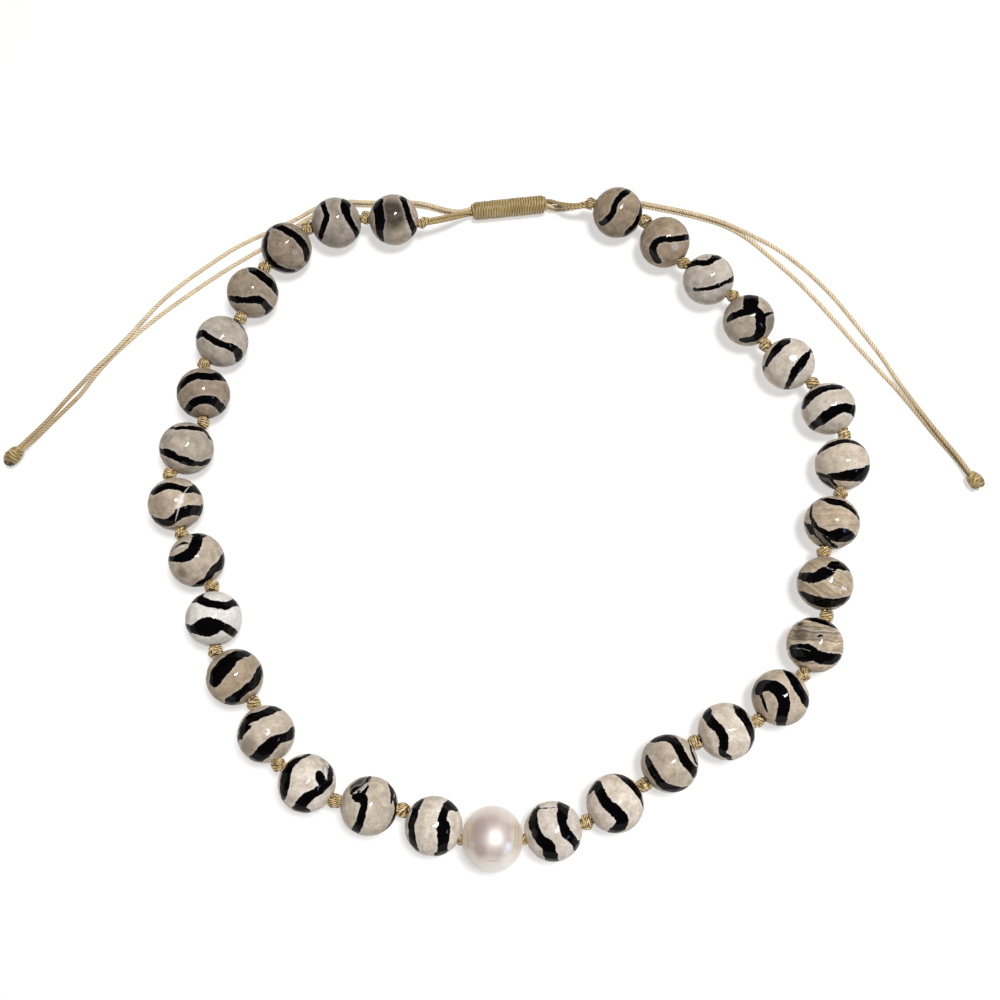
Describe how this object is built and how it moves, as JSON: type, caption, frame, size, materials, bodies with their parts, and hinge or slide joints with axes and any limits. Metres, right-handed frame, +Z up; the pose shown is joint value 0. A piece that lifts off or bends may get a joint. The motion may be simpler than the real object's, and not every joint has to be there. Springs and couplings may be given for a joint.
{
  "type": "bead necklace",
  "caption": "Knotted agate bead necklace with a pearl at the front, closed by a sliding knot with two knotted tails, laid flat",
  "frame": {"origin": "on the surface that the necklace lies on, under the middle of the box round the beads, the knotted cord and the sliding knot", "axes": "+Z up from the surface, +Y from the pearl at the front to the sliding knot at the back, +X to the right as seen from above"},
  "size_m": [0.1885, 0.1314, 0.0105],
  "materials": {
    "agate": "polished round beads with shallow facets, cream to tan and grey with irregular black bands",
    "pearl": "nacre, white with a soft pink and cream sheen",
    "cord": "twisted golden beige thread with a satin sheen"
  },
  "bodies": {
    "root": {"pearl": "pearl", "knotted_cord": "cord", "sliding_knot": "cord", "left_end_knot": "cord", "right_end_knot": "cord", "left_tail_outer": "cord", "left_tail_inner": "cord", "right_tail_outer": "cord", "right_tail_inner": "cord", "left_bead_1": "agate", "left_bead_2": "agate", "left_bead_3": "agate", "left_bead_4": "agate", "left_bead_5": "agate", "left_bead_6": "agate", "left_bead_7": "agate", "left_bead_8": "agate", "left_bead_9": "agate", "left_bead_10": "agate", "left_bead_11": "agate", "left_bead_12": "agate", "left_bead_13": "agate", "left_bead_14": "agate", "left_bead_15": "agate", "right_bead_1": "agate", "right_bead_2": "agate", "right_bead_3": "agate", "right_bead_4": "agate", "right_bead_5": "agate", "right_bead_6": "agate", "right_bead_7": "agate", "right_bead_8": "agate", "right_bead_9": "agate", "right_bead_10": "agate", "right_bead_11": "agate", "right_bead_12": "agate", "right_bead_13": "agate", "right_bead_14": "agate", "right_bead_15": "agate"}
  },
  "joints": []
}
